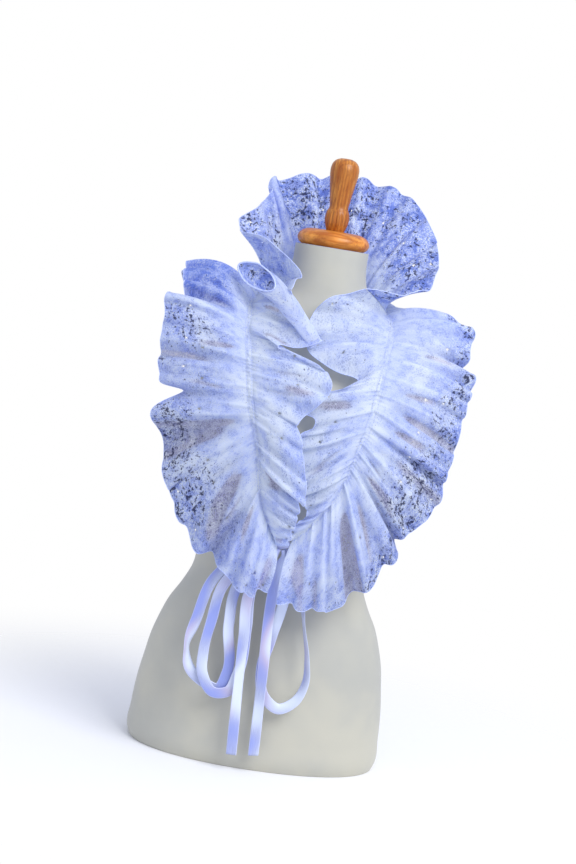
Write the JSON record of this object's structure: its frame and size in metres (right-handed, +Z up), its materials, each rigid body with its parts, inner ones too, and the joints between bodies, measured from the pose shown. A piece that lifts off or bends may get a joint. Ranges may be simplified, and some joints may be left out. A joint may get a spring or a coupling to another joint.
{
  "type": "ruffled lace collar on a dress form",
  "caption": "Gathered lace ruffle collar with a standing neck frill and hanging satin ribbons, worn on a limbless dress form that stands on its flat underside.",
  "frame": {"origin": "centre of the dress form's flat underside", "axes": "+Z up along the form, +Y towards its back, +X to the right of someone who faces the collar"},
  "size_m": [0.4491, 0.3661, 0.8726],
  "materials": {
    "lace": "crisp white openwork lace, bluish in the shade",
    "ribbon": "white satin ribbon",
    "form_jersey": "cream cotton jersey over a padded form",
    "form_wood": "honey-coloured varnished turned wood"
  },
  "bodies": {
    "root": {"form_torso": "form_jersey", "form_neck_cap": "form_wood", "form_finial": "form_wood", "lace_left": "lace", "lace_neck": "lace", "lace_right": "lace", "ribbon_knot": "ribbon", "ribbon_loop_left_wide": "ribbon", "ribbon_loop_left_narrow": "ribbon", "ribbon_loop_right": "ribbon", "ribbon_tail_left": "ribbon", "ribbon_tail_right": "ribbon"}
  },
  "joints": []
}
